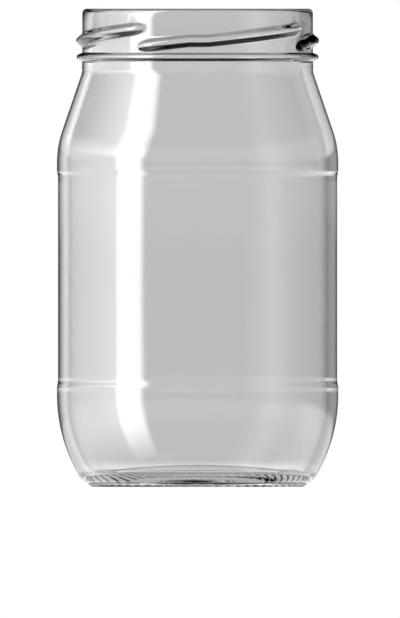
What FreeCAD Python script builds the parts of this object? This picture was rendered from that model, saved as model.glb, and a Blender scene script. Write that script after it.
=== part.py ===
"""Glass jar with a twist-off finish: one solid of pressed-and-blown container glass.

The jar stands on its foot at z = 0 with its axis on Z, and -Y is its front. Lengths are in millimetres,
angles in degrees. The wall is a half-section turned about the axis; the closure lugs are lofted along a
rising path and fused to the finish; the foot's knurl is a ring of slanted grooves cut from below.
"""
import FreeCAD, Part
import math
import os

# Overall sizes
HEIGHT = 124.2              # foot to rim
BODY_RADIUS = 36.54         # over the two belts
WALL = 2.8                  # glass in the body, shoulder and heel
AXIS = FreeCAD.Vector(0, 0, 1)

# Label panel: the body's middle, drawn in a little between an upper and a lower belt
PANEL_RECESS = 0.285        # how far the panel lies inside the belts
LOWER_BELT = 1.9            # straight height of each belt
UPPER_BELT = 1.85
STEP_HEIGHT = 2.0           # height over which the outside steps into the panel
INNER_STEP_HEIGHT = 4.4     # the inside follows more gently

# Heel, from the lower belt down to the parting line above the foot
HEEL_RADIUS = 40.4
HEEL_HEIGHT = 23.8
HEEL_CORNER_RADIUS = 3.6
HEEL_CORNER_TURN = 78.8     # turn of the whole heel where it ends at the parting line
PARTING_HEIGHT = 1.02

# Foot ring and base
FOOT_EDGE_RADIUS = 0.95     # rounding of the outside of the ring that the jar stands on
FOOT_WIDTH = 2.9            # flat width that bears
FOOT_INNER_RADIUS = 0.9     # rounding of the ring's inner edge
FOOT_INNER_TURN = 60.0
BASE_HEIGHT = 5.5           # inside of the base, above the foot, on the axis
BASE_WALL = 2.7
BASE_RISE = 2.1             # how far the base bulges up inside the foot ring
BASE_CORNER_RADIUS = 3.4

# Shoulder and neck
FLANK_ANGLE = 18.85         # slope of the shoulder's straight flank, from the axis
SHOULDER_RADIUS = 25.3
NECK_ARC_RADIUS = 5.2
NECK_FLARE = 0.05           # neck radius beyond the finish's plain wall
NECK_DROP = 15.7            # rim down to the top of the neck's arc
NECK_WALL = 2.7

# Finish: what the closure fits
FINISH_RADIUS = 29.95       # plain wall between the lugs and the rim
FINISH_WALL = 3.2
BORE_DEPTH = 10.5           # straight bore, rim down to where the neck opens out
RIM_RADIUS = 1.2            # rounding of the rim's two edges
BEAD_DROP = 12.55           # rim down to the middle of the transfer bead
BEAD_STAND = 1.47           # how far the bead stands out from the plain wall
BEAD_NOSE_RADIUS = 0.75
BEAD_FLANK_ANGLE = 23.0     # slope of the bead's two flanks, from level

# Closure lugs
LUG_COUNT = 4
LUG_STAND = 1.6             # how far a lug stands out from the plain wall
LUG_NOSE_RADIUS = 0.95
LUG_FLANK_ANGLE = 39.0      # slope of a lug's two flanks, from level
LUG_ROOT_DEPTH = 2.4        # nose to the lug's hidden root inside the wall
LUG_DROP = 8.25             # rim down to a lug's level landing
LUG_RISE = 0.105            # rise per millimetre of travel on either side of the landing
LUG_START, LUG_END = -31.0, 63.0
LANDING_START, LANDING_END = -4.0, 5.0
LUG_TIP = 4.4               # length over which each end fades into the wall
LUG_SINK = 1.75             # how far the tip has sunk below full height
LUG_FADE = (0.0, 0.06, 0.25, 0.6)   # where the fading ends take their cross-sections, as shares of LUG_TIP
LUG_SPANS = 10              # stretches between the cross-sections of a lug's full-height length
FIRST_LUG = 0.0             # turn of the first lug's landing from the front

# Knurl under the foot
RIDGE_COUNT = 60
RIDGE_TIP = 0.12            # width left on each ridge halfway across the flat that bears
GROOVE_DEPTH = 0.45
GROOVE_SLANT = 38.0         # turn of each groove from the radius, its outer end leading clockwise from above
GROOVE_REACH = 5.0          # half length of the cutter
GROOVE_PHASE = -0.4         # turn of the first groove from the front

# Sizes that follow
NECK_RADIUS = FINISH_RADIUS + NECK_FLARE
BORE_RADIUS = FINISH_RADIUS - FINISH_WALL
BEAD_RADIUS = FINISH_RADIUS + BEAD_STAND
LUG_RADIUS = FINISH_RADIUS + LUG_STAND


def polar(centre, radius, angle):
    """The point at that angle on a circle in the half-section, as (r, z)."""
    turn = math.radians(angle)
    return centre[0] + radius * math.cos(turn), centre[1] + radius * math.sin(turn)


def meeting(first, first_radius, second, second_radius):
    """Where two circles of the half-section cross, on the side away from the axis."""
    across = (second[0] - first[0], second[1] - first[1])
    gap = math.hypot(*across)
    along = (gap ** 2 + first_radius ** 2 - second_radius ** 2) / (2 * gap)
    off = math.sqrt(first_radius ** 2 - along ** 2)
    unit = (across[0] / gap, across[1] / gap)
    sides = [(first[0] + unit[0] * along - side * unit[1] * off,
              first[1] + unit[1] * along + side * unit[0] * off) for side in (1, -1)]
    return max(sides)


def angle_to(centre, point):
    """The angle at which a point of the half-section is seen from a circle's centre."""
    return math.degrees(math.atan2(point[1] - centre[1], point[0] - centre[0]))


class Outline:
    """A closed half-section in the XZ plane. Each arc is joined to the last point by a straight run."""

    def __init__(self, r, z):
        self.first = self.last = FreeCAD.Vector(r, 0, z)
        self.edges = []

    def line(self, r, z):
        end = FreeCAD.Vector(r, 0, z)
        if end.distanceToPoint(self.last) > 1e-6:
            self.edges.append(Part.LineSegment(self.last, end).toShape())
            self.last = end

    def arc(self, centre, radius, start, end):
        self.line(*polar(centre, radius, start))
        middle, finish = (polar(centre, radius, angle) for angle in ((start + end) / 2, end))
        stop = FreeCAD.Vector(finish[0], 0, finish[1])
        self.edges.append(Part.Arc(self.last, FreeCAD.Vector(middle[0], 0, middle[1]), stop).toShape())
        self.last = stop

    def step(self, z, height, shift):
        """A soft S, centred at height z, from the last radius to one that is shift further out."""
        way = math.copysign(1, z - self.last.z)
        out = math.copysign(1, shift)
        bend = (height ** 2 + shift ** 2) / (4 * abs(shift))
        turn = math.degrees(math.asin(height / (2 * bend)))
        r, half = self.last.x, way * height / 2
        first, lean = 90 + 90 * out, -out * way * turn
        self.arc((r + out * bend, z - half), bend, first, first + lean)
        self.arc((r + shift - out * bend, z + half), bend, first + 180 + lean, first + 180)

    def turned(self):
        """The solid swept by the closed outline in one turn about the axis."""
        self.line(self.first.x, self.first.z)
        face = Part.Face(Part.Wire(self.edges))
        return face.revolve(FreeCAD.Vector(0, 0, 0), AXIS, 360)


def shoulder_layout():
    """The centres of the neck's and the shoulder's arcs, which the straight flank joins."""
    lean = math.radians(FLANK_ANGLE)
    both = NECK_ARC_RADIUS + SHOULDER_RADIUS
    run = (BODY_RADIUS - NECK_RADIUS - both * (1 - math.cos(lean))) / math.sin(lean)
    neck = (NECK_RADIUS + NECK_ARC_RADIUS, HEIGHT - NECK_DROP)
    shoulder = (BODY_RADIUS - SHOULDER_RADIUS, neck[1] - both * math.sin(lean) - run * math.cos(lean))
    return neck, shoulder


def heel_layout():
    """The centres of the heel's long arc and of its corner, the arc's turn, and the foot ring's radius."""
    heel = (BODY_RADIUS - HEEL_RADIUS, HEEL_HEIGHT)
    inside = HEEL_RADIUS - HEEL_CORNER_RADIUS
    corner_height = PARTING_HEIGHT + HEEL_CORNER_RADIUS * math.sin(math.radians(HEEL_CORNER_TURN))
    turn = math.degrees(math.asin((HEEL_HEIGHT - corner_height) / inside))
    corner = polar(heel, inside, -turn)
    return heel, corner, turn, polar(corner, HEEL_CORNER_RADIUS, -HEEL_CORNER_TURN)[0]


def jar_wall():
    """The whole wall in one turned section: underneath, outside, rim and inside."""
    neck, shoulder = shoulder_layout()
    heel, corner, heel_turn, foot_radius = heel_layout()
    lower_step = HEEL_HEIGHT + LOWER_BELT + STEP_HEIGHT / 2
    upper_step = shoulder[1] - UPPER_BELT - STEP_HEIGHT / 2

    foot_edge = foot_radius - FOOT_EDGE_RADIUS
    foot_inner = (foot_edge - FOOT_WIDTH, FOOT_INNER_RADIUS)
    dome_radius = (foot_inner[0] ** 2 + BASE_RISE ** 2) / (2 * BASE_RISE)
    dome = (0.0, BASE_HEIGHT - dome_radius)
    under = dome_radius - BASE_WALL
    inner_edge = polar(foot_inner, FOOT_INNER_RADIUS, -90 - FOOT_INNER_TURN)
    under_end = math.degrees(math.acos(inner_edge[0] / under))
    glass = Outline(0, dome[1] + under)
    glass.arc(dome, under, 90, under_end)
    glass.arc(foot_inner, FOOT_INNER_RADIUS, -90 - FOOT_INNER_TURN, -90)
    glass.arc((foot_edge, FOOT_EDGE_RADIUS), FOOT_EDGE_RADIUS, -90, 0)

    glass.arc(corner, HEEL_CORNER_RADIUS, -HEEL_CORNER_TURN, -heel_turn)
    glass.arc(heel, HEEL_RADIUS, -heel_turn, 0)
    glass.step(lower_step, STEP_HEIGHT, -PANEL_RECESS)
    glass.step(upper_step, STEP_HEIGHT, PANEL_RECESS)
    glass.arc(shoulder, SHOULDER_RADIUS, 0, FLANK_ANGLE)
    glass.arc(neck, NECK_ARC_RADIUS, 180 + FLANK_ANGLE, 180)

    bead = (BEAD_RADIUS - BEAD_NOSE_RADIUS, HEIGHT - BEAD_DROP)
    bead_turn = 90 - BEAD_FLANK_ANGLE
    bead_top = polar(bead, BEAD_NOSE_RADIUS, bead_turn)
    fall = math.tan(math.radians(BEAD_FLANK_ANGLE))
    glass.line(NECK_RADIUS, 2 * bead[1] - bead_top[1] - (bead_top[0] - NECK_RADIUS) * fall)
    glass.arc(bead, BEAD_NOSE_RADIUS, -bead_turn, bead_turn)
    glass.line(FINISH_RADIUS, bead_top[1] + (bead_top[0] - FINISH_RADIUS) * fall)
    rim = HEIGHT - RIM_RADIUS
    glass.arc((FINISH_RADIUS - RIM_RADIUS, rim), RIM_RADIUS, 0, 90)
    glass.arc((BORE_RADIUS + RIM_RADIUS, rim), RIM_RADIUS, 90, 180)

    glass.line(BORE_RADIUS, HEIGHT - BORE_DEPTH)
    glass.line(NECK_RADIUS - NECK_WALL, neck[1])
    glass.arc(neck, NECK_ARC_RADIUS + NECK_WALL, 180, 180 + FLANK_ANGLE)
    glass.arc(shoulder, SHOULDER_RADIUS - WALL, FLANK_ANGLE, 0)
    glass.step(upper_step, INNER_STEP_HEIGHT, -PANEL_RECESS)
    glass.step(lower_step, INNER_STEP_HEIGHT, PANEL_RECESS)
    inner_heel = HEEL_RADIUS - WALL
    inner_corner = meeting(dome, dome_radius + BASE_CORNER_RADIUS, heel, inner_heel - BASE_CORNER_RADIUS)
    glass.arc(heel, inner_heel, 0, angle_to(heel, inner_corner))
    dome_end = angle_to(dome, inner_corner)
    glass.arc(inner_corner, BASE_CORNER_RADIUS, angle_to(heel, inner_corner), dome_end - 180)
    glass.arc(dome, dome_radius, dome_end, 90)
    return glass.turned()


def lug_height(angle):
    """Height of a lug's middle line: a level landing between two stretches that climb with the turn."""
    travel = min(angle - LANDING_START, 0) + max(angle - LANDING_END, 0)
    return HEIGHT - LUG_DROP + math.radians(travel) * LUG_RADIUS * LUG_RISE


def lug_section(angle):
    """One cross-section of a lug, standing on the radius at that angle from the front."""
    tip = math.degrees(LUG_TIP / LUG_RADIUS)
    ends = min((angle - LUG_START) / tip, (LUG_END - angle) / tip, 1.0)
    sink = LUG_SINK * (1 - math.sqrt(1 - (1 - ends) ** 2))
    nose = (LUG_RADIUS - LUG_NOSE_RADIUS - sink, lug_height(angle))
    turn = 90 - LUG_FLANK_ANGLE
    root = nose[0] + LUG_NOSE_RADIUS - LUG_ROOT_DEPTH
    top = polar(nose, LUG_NOSE_RADIUS, turn)
    spread = (top[0] - root) * math.tan(math.radians(LUG_FLANK_ANGLE))
    half = top[1] - nose[1] + spread
    outline = Outline(root, nose[1] - half)
    outline.arc(nose, LUG_NOSE_RADIUS, -turn, turn)
    outline.line(root, nose[1] + half)
    outline.line(root, nose[1] - half)
    section = Part.Wire(outline.edges)
    section.rotate(FreeCAD.Vector(0, 0, 0), AXIS, angle - 90)
    return section


def lug():
    """One closure lug, lofted along its rise, with both ends sunk into the wall."""
    tip = math.degrees(LUG_TIP / LUG_RADIUS)
    span = (LUG_END - LUG_START - 2 * tip) / LUG_SPANS
    angles = [LUG_START + tip * share for share in LUG_FADE]
    angles += [LUG_START + tip + span * index for index in range(LUG_SPANS + 1)]
    angles += [LUG_END - tip * share for share in reversed(LUG_FADE)]
    return Part.makeLoft([lug_section(angle) for angle in angles], True, False)


def around(shape, count, first):
    """Copies of a shape at equal turns about the axis."""
    copies = []
    for index in range(count):
        copy = shape.copy()
        copy.rotate(FreeCAD.Vector(0, 0, 0), AXIS, first + 360.0 * index / count)
        copies.append(copy)
    return copies


def groove():
    """The cutter for one groove of the knurl: a level round bar that crosses the foot ring on a slant."""
    middle = heel_layout()[-1] - FOOT_EDGE_RADIUS - FOOT_WIDTH / 2
    pitch = 2 * math.pi * middle / RIDGE_COUNT
    half = (pitch * math.cos(math.radians(GROOVE_SLANT)) - RIDGE_TIP) / 2
    radius = (half ** 2 + GROOVE_DEPTH ** 2) / (2 * GROOVE_DEPTH)
    start = FreeCAD.Vector(0, -GROOVE_REACH, 0)
    bar = Part.makeCylinder(radius, 2 * GROOVE_REACH, start, FreeCAD.Vector(0, 1, 0))
    bar.rotate(FreeCAD.Vector(0, 0, 0), AXIS, -GROOVE_SLANT)
    bar.translate(FreeCAD.Vector(0, -middle, GROOVE_DEPTH - radius))
    return bar


def jar():
    """The finished jar."""
    glass = jar_wall().multiFuse(around(lug(), LUG_COUNT, FIRST_LUG))
    glass = glass.cut(around(groove(), RIDGE_COUNT, GROOVE_PHASE))
    return glass.removeSplitter()


os.makedirs("parts", exist_ok=True)
made = jar()
made.exportStep("parts/jar.step")
size = made.optimalBoundingBox(False, False)
print("jar:", len(made.Solids), "solid,", len(made.Faces), "faces, valid", made.isValid())
print("size %.2f x %.2f x %.2f mm" % (size.XLength, size.YLength, size.ZLength))
print("glass %.2f cm3" % (made.Volume / 1000))
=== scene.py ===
# %% [markdown]
# A twist-off glass jar. Everything the eye reads on clear glass is shape and light: the wall has no
# colour pattern to carry it, so the mesh has to be right inside and outside, and the lights have to be
# laid out for glass. The construction model comes first: it fixes where the jar stands and how big it is.

# %% The frame
import math

import bmesh
import bpy
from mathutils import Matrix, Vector


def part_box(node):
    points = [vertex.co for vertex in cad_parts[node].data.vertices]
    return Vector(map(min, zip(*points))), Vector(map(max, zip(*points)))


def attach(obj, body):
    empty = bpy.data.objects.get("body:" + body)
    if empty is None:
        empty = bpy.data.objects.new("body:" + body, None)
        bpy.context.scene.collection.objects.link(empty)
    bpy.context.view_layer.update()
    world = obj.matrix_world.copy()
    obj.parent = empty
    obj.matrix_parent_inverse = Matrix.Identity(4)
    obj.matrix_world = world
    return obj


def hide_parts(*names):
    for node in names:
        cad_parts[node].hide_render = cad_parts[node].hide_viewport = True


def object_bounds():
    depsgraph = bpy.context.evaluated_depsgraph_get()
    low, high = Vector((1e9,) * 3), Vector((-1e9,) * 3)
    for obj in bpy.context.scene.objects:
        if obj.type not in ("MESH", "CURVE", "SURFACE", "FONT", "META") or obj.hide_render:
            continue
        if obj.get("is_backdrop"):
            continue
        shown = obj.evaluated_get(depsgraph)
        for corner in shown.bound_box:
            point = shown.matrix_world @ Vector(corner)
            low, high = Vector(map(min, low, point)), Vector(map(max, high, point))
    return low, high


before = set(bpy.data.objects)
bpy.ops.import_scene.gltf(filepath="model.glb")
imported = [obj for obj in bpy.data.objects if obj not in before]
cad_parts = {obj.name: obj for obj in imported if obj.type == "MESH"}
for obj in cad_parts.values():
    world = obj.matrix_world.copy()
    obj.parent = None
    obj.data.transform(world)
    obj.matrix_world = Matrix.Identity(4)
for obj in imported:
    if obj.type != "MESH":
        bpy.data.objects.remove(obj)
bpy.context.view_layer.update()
low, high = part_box("jar")
print("the jar stands from", tuple(round(v, 4) for v in low), "to", tuple(round(v, 4) for v in high))

# %% [markdown]
# Sizes. Height and width come from the frame, so this jar always fills the construction model. The rest
# are the sizes a mould maker would give: wall, radii of the heel and shoulder, the closure finish, the
# foot. They are in millimetres and become metres at the end of the making.

# %% Sizes in millimetres
HEIGHT = round(high.z * 1000, 3)
BODY_RADIUS = round(high.x * 1000, 2)
WALL = 2.8
PANEL_RECESS, LOWER_BELT, UPPER_BELT = 0.285, 1.9, 1.85
STEP_HEIGHT, INNER_STEP_HEIGHT = 2.0, 4.4
HEEL_RADIUS, HEEL_HEIGHT, HEEL_CORNER_RADIUS, HEEL_CORNER_TURN = 40.4, 23.8, 3.6, 78.8
PARTING_HEIGHT = 1.02
FOOT_EDGE_RADIUS, FOOT_WIDTH, FOOT_INNER_RADIUS, FOOT_INNER_TURN = 0.95, 2.9, 0.9, 60.0
BASE_HEIGHT, BASE_WALL, BASE_RISE, BASE_CORNER_RADIUS = 5.5, 2.7, 2.1, 3.4
FLANK_ANGLE, SHOULDER_RADIUS, NECK_ARC_RADIUS, NECK_DROP, NECK_WALL = 18.85, 25.3, 5.2, 15.7, 2.7
FINISH_RADIUS, FINISH_WALL, NECK_FLARE, BORE_DEPTH, RIM_RADIUS = 29.95, 3.2, 0.05, 10.5, 1.2
BEAD_DROP, BEAD_STAND, BEAD_NOSE_RADIUS, BEAD_FLANK_ANGLE = 12.55, 1.47, 0.75, 23.0
NECK_RADIUS = FINISH_RADIUS + NECK_FLARE
BORE_RADIUS = FINISH_RADIUS - FINISH_WALL
print("height", HEIGHT, "radius", BODY_RADIUS, "neck", NECK_RADIUS, "bore", BORE_RADIUS)

# %% [markdown]
# The wall is a body of revolution, and the way to make one is to draw half of its section and spin it.
# The section itself can be drawn with the same operators: a single point is extruded along each straight
# run, and spun about a centre for each round one. A pen keeps hold of the last point it made. Smooth
# shading smears over a sharp corner, so where one has to stay crisp the pen sets a point close to each
# side of it, as far away as the crease says.

# %% A pen that draws the half-section
CREASE = 0.1


def polar(centre, radius, angle):
    """The point at that angle on a circle in the half-section, as (r, z)."""
    turn = math.radians(angle)
    return centre[0] + radius * math.cos(turn), centre[1] + radius * math.sin(turn)


class Pen:
    """Pulls one point along straight runs and round arcs, in the XZ plane."""

    def __init__(self, bm, r, z):
        self.bm = bm
        self.tip = bm.verts.new((r, 0, z))

    def line(self, r, z, parts=1):
        run = Vector((r, 0, z)) - self.tip.co
        if run.length < 1e-5:
            return
        for _ in range(parts):
            self.tip = bmesh.ops.extrude_vert_indiv(self.bm, verts=[self.tip])["verts"][0]
            bmesh.ops.translate(self.bm, verts=[self.tip], vec=run / parts)

    def held_line(self, r, z, parts=1):
        """A straight run with a ring close to each end, so that its corners shade crisply."""
        start = self.tip.co.copy()
        run = Vector((r, 0, z)) - start
        near, far = start + run.normalized() * CREASE, start + run - run.normalized() * CREASE
        self.line(near.x, near.z)
        self.line(far.x, far.z, parts)
        self.line(r, z)

    def arc(self, centre, radius, start, end, parts):
        self.line(*polar(centre, radius, start))
        made = bmesh.ops.spin(self.bm, geom=[self.tip], cent=(centre[0], 0, centre[1]), axis=(0, -1, 0),
                              angle=math.radians(end - start), steps=parts)
        self.tip = next(item for item in made["geom_last"] if isinstance(item, bmesh.types.BMVert))

    def step(self, z, height, shift, parts=2):
        """A soft S, centred at height z, from the last radius to one that is shift further out."""
        way = math.copysign(1, z - self.tip.co.z)
        out = math.copysign(1, shift)
        bend = (height ** 2 + shift ** 2) / (4 * abs(shift))
        turn = math.degrees(math.asin(height / (2 * bend)))
        r, half = self.tip.co.x, way * height / 2
        first, lean = 90 + 90 * out, -out * way * turn
        self.arc((r + out * bend, z - half), bend, first, first + lean, parts)
        self.arc((r + shift - out * bend, z + half), bend, first + 180 + lean, first + 180, parts)


# %% [markdown]
# The round stretches share centres. The inside of the shoulder and heel is struck from the same centres
# as the outside, which is how a wall stays one thickness round a curve.

# %% Centres of the round stretches
lean = math.radians(FLANK_ANGLE)
both_arcs = NECK_ARC_RADIUS + SHOULDER_RADIUS
flank = (BODY_RADIUS - NECK_RADIUS - both_arcs * (1 - math.cos(lean))) / math.sin(lean)
neck = (NECK_RADIUS + NECK_ARC_RADIUS, HEIGHT - NECK_DROP)
shoulder = (BODY_RADIUS - SHOULDER_RADIUS, neck[1] - both_arcs * math.sin(lean) - flank * math.cos(lean))
heel = (BODY_RADIUS - HEEL_RADIUS, HEEL_HEIGHT)
corner_height = PARTING_HEIGHT + HEEL_CORNER_RADIUS * math.sin(math.radians(HEEL_CORNER_TURN))
heel_turn = math.degrees(math.asin((HEEL_HEIGHT - corner_height) / (HEEL_RADIUS - HEEL_CORNER_RADIUS)))
corner = polar(heel, HEEL_RADIUS - HEEL_CORNER_RADIUS, -heel_turn)
FOOT_RADIUS = polar(corner, HEEL_CORNER_RADIUS, -HEEL_CORNER_TURN)[0]
foot_edge = FOOT_RADIUS - FOOT_EDGE_RADIUS
foot_inner = (foot_edge - FOOT_WIDTH, FOOT_INNER_RADIUS)
dome_radius = (foot_inner[0] ** 2 + BASE_RISE ** 2) / (2 * BASE_RISE)
dome = (0.0, BASE_HEIGHT - dome_radius)
lower_step = HEEL_HEIGHT + LOWER_BELT + STEP_HEIGHT / 2
upper_step = shoulder[1] - UPPER_BELT - STEP_HEIGHT / 2
print("foot radius", round(FOOT_RADIUS, 2), "panel from", round(lower_step, 1), "to", round(upper_step, 1))


# %% [markdown]
# The lines of the section: underneath and outside going up, over the rim, and down the inside back to
# the axis. Straight runs need no points between their ends, except on the finish wall, where the lugs
# will be pulled out of it and need rings to be pulled from.

# %% Draw the section
LUG_RINGS, LUG_WALL_TOP = 27, 3.6


def draw_foot(pen):
    under = dome_radius - BASE_WALL
    inner_edge = polar(foot_inner, FOOT_INNER_RADIUS, -90 - FOOT_INNER_TURN)
    pen.arc(dome, under, 90, math.degrees(math.acos(inner_edge[0] / under)), 6)
    pen.arc(foot_inner, FOOT_INNER_RADIUS, -90 - FOOT_INNER_TURN, -90, 4)
    pen.line(foot_edge, 0, 5)
    pen.arc((foot_edge, FOOT_EDGE_RADIUS), FOOT_EDGE_RADIUS, -90, 0, 6)


def draw_heel(pen):
    pen.arc(corner, HEEL_CORNER_RADIUS, -HEEL_CORNER_TURN, -heel_turn, 9)
    pen.arc(heel, HEEL_RADIUS, -heel_turn, 0, 11)


def draw_body(pen):
    pen.step(lower_step, STEP_HEIGHT, -PANEL_RECESS)
    pen.step(upper_step, STEP_HEIGHT, PANEL_RECESS)
    pen.arc(shoulder, SHOULDER_RADIUS, 0, FLANK_ANGLE, 6)
    pen.arc(neck, NECK_ARC_RADIUS, 180 + FLANK_ANGLE, 180, 5)


def draw_bead(pen):
    nose = (FINISH_RADIUS + BEAD_STAND - BEAD_NOSE_RADIUS, HEIGHT - BEAD_DROP)
    turn = 90 - BEAD_FLANK_ANGLE
    top = polar(nose, BEAD_NOSE_RADIUS, turn)
    fall = math.tan(math.radians(BEAD_FLANK_ANGLE))
    below = polar(nose, BEAD_NOSE_RADIUS, -turn)
    pen.held_line(NECK_RADIUS, below[1] - (below[0] - NECK_RADIUS) * fall)
    pen.held_line(*below)
    pen.arc(nose, BEAD_NOSE_RADIUS, -turn, turn, 9)
    pen.held_line(FINISH_RADIUS, top[1] + (top[0] - FINISH_RADIUS) * fall)


def draw_rim(pen):
    rim = HEIGHT - RIM_RADIUS
    pen.arc((FINISH_RADIUS - RIM_RADIUS, rim), RIM_RADIUS, 0, 90, 6)
    pen.arc((BORE_RADIUS + RIM_RADIUS, rim), RIM_RADIUS, 90, 180, 6)


def draw_inside(pen):
    pen.line(BORE_RADIUS, HEIGHT - BORE_DEPTH)
    pen.line(NECK_RADIUS - NECK_WALL, neck[1])
    pen.arc(neck, NECK_ARC_RADIUS + NECK_WALL, 180, 180 + FLANK_ANGLE, 4)
    pen.arc(shoulder, SHOULDER_RADIUS - WALL, FLANK_ANGLE, 0, 6)
    pen.step(upper_step, INNER_STEP_HEIGHT, -PANEL_RECESS)
    pen.step(lower_step, INNER_STEP_HEIGHT, PANEL_RECESS)
    # the bottom corner touches the dome from above and the heel from within
    big, small = dome_radius + BASE_CORNER_RADIUS, HEEL_RADIUS - WALL - BASE_CORNER_RADIUS
    across = Vector((heel[0] - dome[0], heel[1] - dome[1]))
    along = (across.length ** 2 + big ** 2 - small ** 2) / (2 * across.length)
    off = math.sqrt(big ** 2 - along ** 2)
    unit = across.normalized()
    inner_corner = (dome[0] + unit.x * along + unit.y * off, dome[1] + unit.y * along - unit.x * off)
    heel_end = math.degrees(math.atan2(inner_corner[1] - heel[1], inner_corner[0] - heel[0]))
    dome_end = math.degrees(math.atan2(inner_corner[1] - dome[1], inner_corner[0] - dome[0]))
    pen.arc(heel, HEEL_RADIUS - WALL, 0, heel_end, 9)
    pen.arc(inner_corner, BASE_CORNER_RADIUS, heel_end, dome_end - 180, 7)
    pen.arc(dome, dome_radius, dome_end, 90, 6)


glass = bmesh.new()
pen = Pen(glass, 0, dome[1] + dome_radius - BASE_WALL)
draw_foot(pen)
foot_end = len(glass.verts)
draw_heel(pen)
heel_end = len(glass.verts)
draw_body(pen)
draw_bead(pen)
wall_start = len(glass.verts)
pen.held_line(FINISH_RADIUS, HEIGHT - LUG_WALL_TOP, LUG_RINGS)
wall_end = len(glass.verts)
draw_rim(pen)
draw_inside(pen)
print("the section has", len(glass.verts), "points and ends on the axis at", round(pen.tip.co.z, 2), "mm")

# %% [markdown]
# One full spin makes the wall. A full spin needs use_merge, or the first and last sections stay two
# loose seams, and the points on the axis have to be merged into one pole each. Each point of the section
# is numbered first; the spin copies the number, so that later every ring knows which one it is. The
# count of steps is a multiple of the foot's ridges, so that every ridge gets the same points.

# %% Spin the section
RIDGES = 60
STEPS = RIDGES * 9
ring = glass.verts.layers.int.new("ring")
for index, vert in enumerate(glass.verts):
    vert[ring] = index
bmesh.ops.spin(glass, geom=glass.verts[:] + glass.edges[:], cent=(0, 0, 0), axis=(0, 0, 1),
               angle=2 * math.pi, steps=STEPS, use_merge=True)
bmesh.ops.remove_doubles(glass, verts=glass.verts, dist=1e-4)
open_edges = sum(1 for edge in glass.edges if not edge.is_manifold)
print("spun to", len(glass.faces), "faces with", open_edges, "open edges")

# %% [markdown]
# Four lugs take the closure. Each one climbs to the right, with a short level landing in its middle, and
# fades out at both ends. They could be separate sweeps joined by a Boolean, but glass shows every seam
# of such a join. Here the rings of the finish wall are pushed outwards to the lug's own section instead,
# so the skin stays whole, and a soft blend at the root gives the fillet that the mould has.

# %% Raise the lugs
LUGS, LUG_STAND, LUG_NOSE_RADIUS, LUG_FLANK_ANGLE = 4, 1.6, 0.95, 39.0
LUG_DROP, LUG_RISE, LUG_START, LUG_END = 8.25, 0.105, -31.0, 63.0
LANDING_START, LANDING_END, LUG_TIP, LUG_SINK = -4.0, 5.0, 4.4, 1.75
LUG_ROOT = 0.18


def smooth_max(a, b, blend):
    """The larger of two heights, with the crease between them rounded over the blend."""
    mix = max(blend - abs(a - b), 0) / blend
    return max(a, b) + mix * mix * blend / 4


def lug_reach(angle, z):
    """How far out a lug comes at that angle from its landing, and at that height."""
    if not LUG_START < angle < LUG_END:
        return 0
    radius = FINISH_RADIUS + LUG_STAND
    travel = min(angle - LANDING_START, 0) + max(angle - LANDING_END, 0)
    away = abs(z - HEIGHT + LUG_DROP - math.radians(travel) * radius * LUG_RISE)
    tip = math.degrees(LUG_TIP / radius)
    ends = min((angle - LUG_START) / tip, (LUG_END - angle) / tip, 1)
    nose = radius - LUG_NOSE_RADIUS - LUG_SINK * (1 - math.sqrt(1 - (1 - ends) ** 2))
    turn = math.radians(90 - LUG_FLANK_ANGLE)
    edge = LUG_NOSE_RADIUS * math.sin(turn)
    if away < edge:
        return nose + math.sqrt(LUG_NOSE_RADIUS ** 2 - away ** 2)
    return nose + LUG_NOSE_RADIUS * math.cos(turn) - (away - edge) / math.tan(math.radians(LUG_FLANK_ANGLE))


def raise_lugs(bm):
    count = 0
    for vert in bm.verts:
        if not wall_start <= vert[ring] < wall_end:
            continue
        angle = math.degrees(math.atan2(vert.co.x, -vert.co.y))
        r = math.hypot(vert.co.x, vert.co.y)
        for index in range(LUGS):
            turned = (angle - index * 360 / LUGS + 180) % 360 - 180
            reach = smooth_max(r, lug_reach(turned, vert.co.z), LUG_ROOT)
            if reach > r:
                vert.co.xy *= reach / r
                r = reach
                count += 1
    return count


print("points moved for the lugs:", raise_lugs(glass))

# %% [markdown]
# The foot is knurled: sixty slanted grooves keep the hot glass from chilling on the conveyor and let the
# jar grip a shelf. A groove that crosses the mesh on a slant would come out ragged, so the rings of the
# foot are first twisted until the mesh lines run along the grooves, and the twist fades out up the heel.
# Turning a ring on a round body does not change its shape. Then the points are lifted to the round
# section of the groove.

# %% Knurl the foot
GROOVE_DEPTH, GROOVE_SLANT, RIDGE_TIP, RIDGE_PHASE = 0.45, 38.0, 0.12, 2.6
knurl_middle = foot_edge - FOOT_WIDTH / 2
slant = math.radians(GROOVE_SLANT)
pitch = 2 * math.pi * knurl_middle / RIDGES
groove_half = (pitch * math.cos(slant) - RIDGE_TIP) / 2
groove_radius = (groove_half ** 2 + GROOVE_DEPTH ** 2) / (2 * GROOVE_DEPTH)


def twist(r):
    """How far a straight groove has turned about the axis, in degrees, where it crosses radius r."""
    r = min(max(r, foot_inner[0] - FOOT_INNER_RADIUS), FOOT_RADIUS)
    reach = math.sqrt(r ** 2 - (knurl_middle * math.sin(slant)) ** 2) - knurl_middle * math.cos(slant)
    return -math.degrees(math.atan2(reach * math.sin(slant), knurl_middle + reach * math.cos(slant)))


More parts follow.
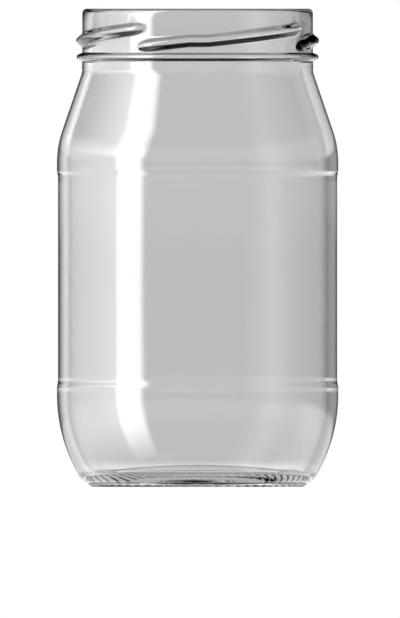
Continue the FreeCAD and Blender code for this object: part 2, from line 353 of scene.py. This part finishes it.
def knurl(bm):
    count = 0
    for vert in bm.verts:
        r = math.hypot(vert.co.x, vert.co.y)
        if vert[ring] >= heel_end or r < 1e-3:
            continue
        fade = min((heel_end - 1 - vert[ring]) / (heel_end - foot_end), 1)
        home = math.degrees(math.atan2(vert.co.x, -vert.co.y))
        angle = math.radians(home + (RIDGE_PHASE + twist(r)) * fade)
        vert.co.x, vert.co.y = r * math.sin(angle), -r * math.cos(angle)
        if vert[ring] >= foot_end:
            continue
        groove = (math.floor(home * RIDGES / 360) + 0.5) * 360 / RIDGES
        spread = math.sqrt(max(r ** 2 - (knurl_middle * math.sin(slant)) ** 2, 0))
        away = abs(math.radians(home - groove) * spread)
        if away < groove_half:
            roof = GROOVE_DEPTH - groove_radius + math.sqrt(groove_radius ** 2 - away ** 2)
            if roof > vert.co.z:
                vert.co.z = roof
                count += 1
    return count


print("points lifted into the grooves:", knurl(glass))

# %% [markdown]
# The finished wall becomes a mesh in metres. It is one closed skin, so recalculating the normals turns
# the outside outwards and the inside inwards to the cavity, which is what the glass shader needs to know
# where light goes in and where it comes out.

# %% The jar's mesh
MM = 0.001
bmesh.ops.scale(glass, vec=(MM, MM, MM), verts=glass.verts)
bmesh.ops.recalc_face_normals(glass, faces=glass.faces)
for face in glass.faces:
    face.smooth = True
glass_volume = glass.calc_volume()
jar_mesh = bpy.data.meshes.new("glass_jar")
glass.to_mesh(jar_mesh)
glass.free()
jar = bpy.data.objects.new("glass_jar", jar_mesh)
bpy.context.scene.collection.objects.link(jar)
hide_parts("jar")
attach(jar, "root")
jar_mesh.calc_loop_triangles()
cubic_centimetres = round(glass_volume * 1e6, 2)
print("the jar has", len(jar_mesh.loop_triangles), "triangles and", cubic_centimetres, "cm3 of glass")

# %% [markdown]
# Three short helpers keep the node work readable: one makes a number, one makes a vector, and the third
# draws a curve from a few pairs of numbers, which is how the lights and the tint are written down.

# %% Helpers for node values


def number(tree, operation, *values):
    node = tree.nodes.new("ShaderNodeMath")
    node.operation = operation
    for socket, value in zip(node.inputs, values):
        if isinstance(value, (int, float)):
            socket.default_value = value
        else:
            tree.links.new(value, socket)
    return node.outputs[0]


def vector(tree, operation, *values):
    node = tree.nodes.new("ShaderNodeVectorMath")
    node.operation = operation
    for socket, value in zip(node.inputs, values):
        if isinstance(value, tuple):
            socket.default_value = value
        else:
            tree.links.new(value, socket)
    return node.outputs[0]


def profile(tree, value, points):
    """A curve through (value, level) points, flat beyond its ends."""
    low, high = points[0][0], points[-1][0]
    top = max(level for _, level in points)
    share = number(tree, "DIVIDE", number(tree, "SUBTRACT", value, low), high - low)
    ramp = tree.nodes.new("ShaderNodeValToRGB")
    tree.links.new(share, ramp.inputs["Fac"])
    stops = ramp.color_ramp.elements
    while len(stops) < len(points):
        stops.new(0.5)
    for stop, (place, level) in zip(stops, points):
        stop.position = (place - low) / (high - low)
        stop.color = (level / top, level / top, level / top, 1)
    return number(tree, "MULTIPLY", ramp.outputs["Color"], top)


# %% [markdown]
# The glass. A Principled shader with full transmission bends light by its index of refraction; container
# glass is 1.52. Its base colour is how much of the light the glass lets on: a light neutral grey in the
# wall. In the foot the grey is left out, which is painted light: the glass there is coloured clearer than
# it is, because light crosses so many surfaces there that a grey would turn it black. Blown
# glass is never quite even, so a slow bump bends what it mirrors a little. The ridges that the jar
# stands on are scuffed, so they are rough where the rest is polished.
#
# One choice is about reading the finish and not about physics. Four lugs on the far side, seen through
# the near ones, make a tangle. So light that has already crossed three faces of glass leaves through the
# fourth as if the wall there were plain. Through the open mouth there are fewer faces to cross, and the
# far lugs are seen as they are.

# %% The glass
# The wall's grey tint above 6.2 mm. Below 4.6 mm the foot is painted clear, a painted lightening so that it
# renders brighter.
TINT_AND_PAINTED_FOOT_LIGHT = ((4.6, 1.0), (6.2, 0.77))
SCUFFED = ((0.1, 0.6), (0.5, 0.0))
SCRATCHES_PER_METRE = 2500
CONTAINER_GLASS_IOR = 1.52
THREE_FACES_CROSSED = 2.5
ABOVE_NECK_ARC = 0.2
WAVES_PER_METRE, WAVE_HEIGHT = 60, 0.00001


def scalar_of(tree, operation, first, second):
    """The number that a vector operation gives, such as a dot product."""
    node = tree.nodes.new("ShaderNodeVectorMath")
    node.operation = operation
    tree.links.new(first, node.inputs[0])
    tree.links.new(second, node.inputs[1])
    return node.outputs["Value"]


def far_wall(tree, place, height):
    """The normal of the plain wall where light leaves through the far side of the finish."""
    unit = vector(tree, "NORMALIZE", vector(tree, "MULTIPLY", place, (1, 1, 0)))
    normal = tree.nodes.new("ShaderNodeNewGeometry").outputs["Normal"]
    side = number(tree, "SIGN", scalar_of(tree, "DOT_PRODUCT", unit, normal))
    plain = tree.nodes.new("ShaderNodeVectorMath")
    plain.operation = "SCALE"
    tree.links.new(unit, plain.inputs[0])
    tree.links.new(side, plain.inputs["Scale"])
    path = tree.nodes.new("ShaderNodeLightPath")
    late = number(tree, "GREATER_THAN", path.outputs["Transmission Depth"], THREE_FACES_CROSSED)
    above = number(tree, "GREATER_THAN", height, HEIGHT - NECK_DROP + ABOVE_NECK_ARC)
    below = number(tree, "LESS_THAN", height, HEIGHT - RIM_RADIUS)
    here = number(tree, "MULTIPLY", late, number(tree, "MULTIPLY", above, below))
    mix = tree.nodes.new("ShaderNodeMix")
    mix.data_type = "VECTOR"
    tree.links.new(here, mix.inputs["Factor"])
    tree.links.new(normal, mix.inputs[4])
    tree.links.new(plain.outputs[0], mix.inputs[5])
    return mix.outputs[1]


def waves(tree, place, normal):
    """The slow unevenness of blown glass, which keeps its reflections from looking ruled."""
    noise = tree.nodes.new("ShaderNodeTexNoise")
    noise.inputs["Scale"].default_value = WAVES_PER_METRE
    noise.inputs["Detail"].default_value = 1
    tree.links.new(place, noise.inputs["Vector"])
    bump = tree.nodes.new("ShaderNodeBump")
    bump.inputs["Distance"].default_value = WAVE_HEIGHT
    tree.links.new(noise.outputs["Fac"], bump.inputs["Height"])
    tree.links.new(normal, bump.inputs["Normal"])
    return bump.outputs["Normal"]


def scuffs(tree, place, height):
    """Roughness: fine scratches on the ridges that the jar stands on, none above them."""
    noise = tree.nodes.new("ShaderNodeTexNoise")
    noise.inputs["Scale"].default_value = SCRATCHES_PER_METRE
    tree.links.new(place, noise.inputs["Vector"])
    return number(tree, "MULTIPLY", profile(tree, height, SCUFFED), noise.outputs["Fac"])


def make_glass():
    material = bpy.data.materials.new("clear_glass")
    material.use_nodes = True
    tree = material.node_tree
    shader = tree.nodes["Principled BSDF"]
    shader.inputs["Transmission Weight"].default_value = 1
    shader.inputs["IOR"].default_value = CONTAINER_GLASS_IOR
    place = tree.nodes.new("ShaderNodeTexCoord").outputs["Object"]
    split = tree.nodes.new("ShaderNodeSeparateXYZ")
    tree.links.new(place, split.inputs[0])
    height = number(tree, "DIVIDE", split.outputs["Z"], MM)
    # Base colour by height: the glass's grey tint, painted clear in the foot to lighten it.
    tree.links.new(profile(tree, height, TINT_AND_PAINTED_FOOT_LIGHT), shader.inputs["Base Color"])
    tree.links.new(scuffs(tree, place, height), shader.inputs["Roughness"])
    tree.links.new(waves(tree, place, far_wall(tree, place, height)), shader.inputs["Normal"])
    return material


jar_mesh.materials.append(make_glass())
print("the jar's glass is", jar_mesh.materials[0].name, "with an index of", CONTAINER_GLASS_IOR)

# %% [markdown]
# Glass is lit by what stands round it. A white field behind it shows through; a dark field above it
# draws a dark line on every slope that bends light upwards; a tall card on the left gives the long
# stripe, a faint one on the right gives its echo, and the white table beyond the jar shows in what
# faces down and away. All of it is painted on the world's sphere, where it is soft and costs no noise.
# Each curve says how bright one part is: the first number of a pair is an angle in degrees, the second
# a brightness.
#
# The Light Path tells which way the light came. What glass shows by bending light depends on height
# alone, so that it is the same from every side. What its outside mirrors depends on the direction round
# the jar too, and what it mirrors from within has curves of its own. The camera itself sees plain white.

# %% The surroundings
scene = bpy.context.scene
SHOWS_THROUGH = ((-60, 0.25), (-34, 0.35), (-25, 0.72), (-16, 1.0), (11, 1.0), (18, 0.15), (26, 0.0),
                 (45, 0.0))
MIRRORED_ROUND = ((-180, 0.0), (-160, 0.1), (-141, 1.1), (-110, 2.8), (-73, 4.3), (-69, 10.5), (-49.5, 10.5),
                  (-44.5, 0.0), (36, 0.0), (60, 0.3), (80, 0.15), (100, 0.0), (120, 0.15), (165, 0.15),
                  (180, 0.0))
MIRRORED_ABOVE = ((-150, 0.0), (-129, 0.1), (-112, 1.3), (-97, 2.8), (-84, 3.9), (-75, 5.0), (-70, 10.5),
                  (-49, 10.5), (-42, 0.0), (36, 0.0), (60, 0.3), (80, 0.15), (100, 0.0))
ABOVE = ((2, 0.0), (14, 1.0))
MIRRORED_HIGH = ((-45, 0.0), (-20, 1.0), (4.5, 1.0), (8, 1.8), (12, 1.5), (18, 1.0), (50, 1.0), (60, 0.0))
MIRRORED_LOW = ((-46, 0.0), (-36, 1.2), (-6, 1.2), (-3, 0.0))
BEHIND = ((60, 0.0), (100, 1.0), (180, 1.0))
SEEN_INSIDE = ((-180, 0.1), (-150, 0.9), (-136, 0.25), (-100, 0.2), (-72, 2.1), (-44, 0.05), (120, 0.1),
               (145, 0.35), (167, 0.6), (180, 0.1))
SEEN_LOW = ((-90, 0.5), (-6, 0.45), (-1.5, 0.0), (1, 0.0), (3, 1.0), (14, 1.0), (20, 0.0))
CARD_LEAN = 0.09
ROOM_LIGHT = 0.8
MIRRORED_BEFORE = 0.5


def directions(tree):
    """The height of each direction over the horizon, and its turn round the jar from the front."""
    where = tree.nodes.new("ShaderNodeTexCoord")
    split = tree.nodes.new("ShaderNodeSeparateXYZ")
    tree.links.new(where.outputs["Generated"], split.inputs[0])
    x, y, z = split.outputs
    height = number(tree, "DEGREES", number(tree, "ARCSINE", z))
    around = number(tree, "DEGREES", number(tree, "ARCTAN2", x, number(tree, "MULTIPLY", y, -1)))
    lean = number(tree, "MULTIPLY", number(tree, "ABSOLUTE", height), CARD_LEAN)
    return height, number(tree, "SUBTRACT", around, lean)


def blend(tree, share, first, second):
    """The first value where the share is 0 and the second where it is 1."""
    node = tree.nodes.new("ShaderNodeMix")
    for name, value in (("Factor", share), ("A", first), ("B", second)):
        tree.links.new(value, node.inputs[name])
    return node.outputs["Result"]


def mirrored_outside(tree, height, around, reach):
    """The cards, and the table beyond the jar, in the outside of the glass."""
    low, high = profile(tree, around, MIRRORED_ROUND), profile(tree, around, MIRRORED_ABOVE)
    cards = number(tree, "MULTIPLY", blend(tree, profile(tree, height, ABOVE), low, high), reach)
    away = profile(tree, number(tree, "ABSOLUTE", around), BEHIND)
    table = number(tree, "MULTIPLY", profile(tree, height, MIRRORED_LOW), away)
    return number(tree, "MAXIMUM", cards, table)


def make_world():
    world = bpy.data.worlds.new("studio")
    world.use_nodes = True
    tree = world.node_tree
    tree.nodes.clear()
    height, around = directions(tree)
    reach = profile(tree, height, MIRRORED_HIGH)
    path = tree.nodes.new("ShaderNodeLightPath").outputs
    bent = path["Is Transmission Ray"]
    inside = number(tree, "MULTIPLY", profile(tree, around, SEEN_INSIDE), reach)
    inside = number(tree, "MAXIMUM", inside, profile(tree, height, SEEN_LOW))
    turned = number(tree, "GREATER_THAN", path["Glossy Depth"], MIRRORED_BEFORE)
    through = blend(tree, turned, profile(tree, height, SHOWS_THROUGH), inside)
    outside = mirrored_outside(tree, height, around, reach)
    only_mirrored = number(tree, "SUBTRACT", path["Is Glossy Ray"], bent)
    level = number(tree, "ADD", number(tree, "MULTIPLY", bent, through),
                   number(tree, "MULTIPLY", only_mirrored, outside))
    plain = number(tree, "ADD", path["Is Camera Ray"],
                   number(tree, "MULTIPLY", path["Is Diffuse Ray"], ROOM_LIGHT))
    background = tree.nodes.new("ShaderNodeBackground")
    background.inputs["Color"].default_value = (1, 1, 1, 1)
    out = tree.nodes.new("ShaderNodeOutputWorld")
    tree.links.new(number(tree, "ADD", level, plain), background.inputs["Strength"])
    tree.links.new(background.outputs[0], out.inputs[0])
    return world


scene.world = make_world()
print("the surroundings take", len(scene.world.node_tree.nodes), "nodes")

# %% [markdown]
# The floor is a plain pale sheet that catches the jar's shadow. Seen directly it is mixed with white
# light, so that it runs into the white background with no horizon; for all other light it is an ordinary
# matt surface. Glass doesn't show it, because the table is already painted in the surroundings.

# %% The floor
FLOOR_WHITE, FLOOR_GREY, FLOOR_ROUGHNESS, FLOOR_SHINE, FLOOR_HALF = 0.75, 0.9, 0.9, 0.1, 3


def make_floor():
    bm = bmesh.new()
    bmesh.ops.create_grid(bm, x_segments=1, y_segments=1, size=FLOOR_HALF)
    mesh = bpy.data.meshes.new("floor")
    bm.to_mesh(mesh)
    bm.free()
    floor = bpy.data.objects.new("floor", mesh)
    scene.collection.objects.link(floor)
    material = bpy.data.materials.new("pale_floor")
    material.use_nodes = True
    tree = material.node_tree
    shader = tree.nodes["Principled BSDF"]
    shader.inputs["Base Color"].default_value = (FLOOR_GREY, FLOOR_GREY, FLOOR_GREY, 1)
    shader.inputs["Roughness"].default_value = FLOOR_ROUGHNESS
    shader.inputs["Specular IOR Level"].default_value = FLOOR_SHINE
    path = tree.nodes.new("ShaderNodeLightPath")
    seen = number(tree, "MULTIPLY", path.outputs["Is Camera Ray"], FLOOR_WHITE)
    white = tree.nodes.new("ShaderNodeEmission")
    mix = tree.nodes.new("ShaderNodeMixShader")
    tree.links.new(seen, mix.inputs[0])
    tree.links.new(shader.outputs[0], mix.inputs[1])
    tree.links.new(white.outputs[0], mix.inputs[2])
    tree.links.new(mix.outputs[0], tree.nodes["Material Output"].inputs["Surface"])
    mesh.materials.append(material)
    floor.visible_glossy = False
    floor.visible_transmission = False
    floor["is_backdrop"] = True
    return floor


print("the floor is", 2 * FLOOR_HALF, "m wide:", make_floor().name)

# %% [markdown]
# One wide softbox over the left shoulder gives the shadow its direction. It is hidden from the glass,
# because a square lamp mirrored in a round shoulder would look like a window.

# %% The overhead light


def softbox(name, spot, size, strength):
    """A square soft light at that spot, turned to the jar's foot. Glass doesn't show it."""
    light = bpy.data.lights.new(name, "AREA")
    light.size = size
    spot = Vector(spot)
    light.energy = strength * math.pi * spot.length ** 2
    lamp = bpy.data.objects.new(name, light)
    lamp.location = spot
    lamp.rotation_euler = spot.to_track_quat("Z", "Y").to_euler()
    scene.collection.objects.link(lamp)
    lamp.visible_camera = False
    lamp.visible_glossy = False
    lamp.visible_transmission = False
    return lamp


lamp = softbox("overhead light", spot=(-0.5, 0.2, 1.2), size=1.0, strength=0.8)
print("the", lamp.name, "gives", round(lamp.data.energy, 2), "W")

# %% [markdown]
# The camera looks level, at the height of the lower half of the body, without perspective, as a catalogue
# drawing does: the rim, the bead and the foot are all seen edge on.

# %% The camera
PICTURE_HEIGHT, CAMERA_LEVEL, CAMERA_SIDE, CAMERA_AWAY = 0.1605, 0.0462, 0.00062, 1.0


def make_camera():
    data = bpy.data.cameras.new("camera")
    data.type = "ORTHO"
    data.ortho_scale = PICTURE_HEIGHT
    camera = bpy.data.objects.new("camera", data)
    camera.location = (CAMERA_SIDE, -CAMERA_AWAY, CAMERA_LEVEL)
    camera.rotation_euler = (math.pi / 2, 0, 0)
    scene.collection.objects.link(camera)
    scene.camera = camera


make_camera()
print("the picture is", PICTURE_HEIGHT, "m high, from a camera at", CAMERA_LEVEL, "m")

# %% [markdown]
# Last, plain view settings and the size of the visual model.

# %% View settings and the visual model's size
scene.view_settings.view_transform = "Standard"
visual_low, visual_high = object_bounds()
corners = [tuple(round(v, 4) for v in point) for point in (visual_low, visual_high)]
print("the visual model reaches from", corners[0], "to", corners[1])
